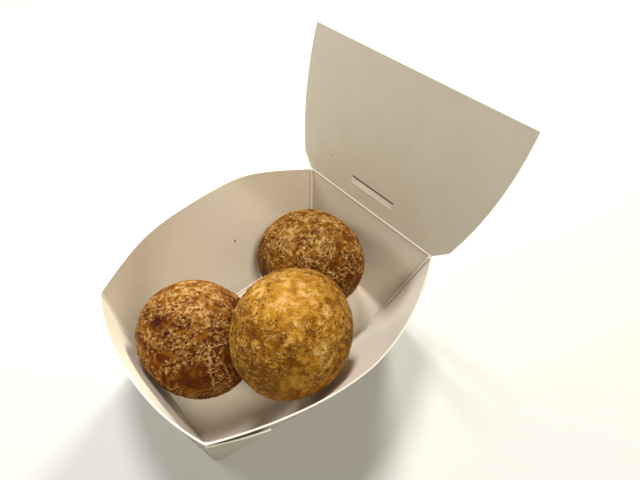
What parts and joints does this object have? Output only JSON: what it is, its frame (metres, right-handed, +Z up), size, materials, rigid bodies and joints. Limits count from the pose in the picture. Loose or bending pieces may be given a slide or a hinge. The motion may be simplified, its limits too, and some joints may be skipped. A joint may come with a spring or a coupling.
{
  "type": "fried batter balls in an open paper tray",
  "caption": "Deep-fried octopus-style batter balls with a browned crust, resting in a folded paperboard takeaway tray with a hinged lid standing open.",
  "frame": {"origin": "middle of the tray floor's underside", "axes": "+Z up, +Y from the middle of the floor towards the back wall that carries the lid, +X to the right seen from the front"},
  "size_m": [0.0948, 0.1133, 0.0988],
  "materials": {
    "tray_board": "matt off-white paperboard",
    "lid_board": "matt off-white paperboard",
    "crust_dark": "reddish brown wrinkled fried crust",
    "crust_golden": "golden wrinkled fried crust",
    "crust_brown": "brown wrinkled fried crust"
  },
  "bodies": {
    "tray": {"tray": "tray_board", "ball_left": "crust_dark", "ball_front": "crust_golden", "ball_back": "crust_brown"},
    "lid": {"lid": "lid_board"}
  },
  "joints": [
    {"name": "lid_hinge", "type": "hinge", "parent": "tray", "child": "lid", "pos_m": [0, 0.05155, 0.0421], "axis": [1, 0, 0], "range_deg": [-80, 79]}
  ]
}
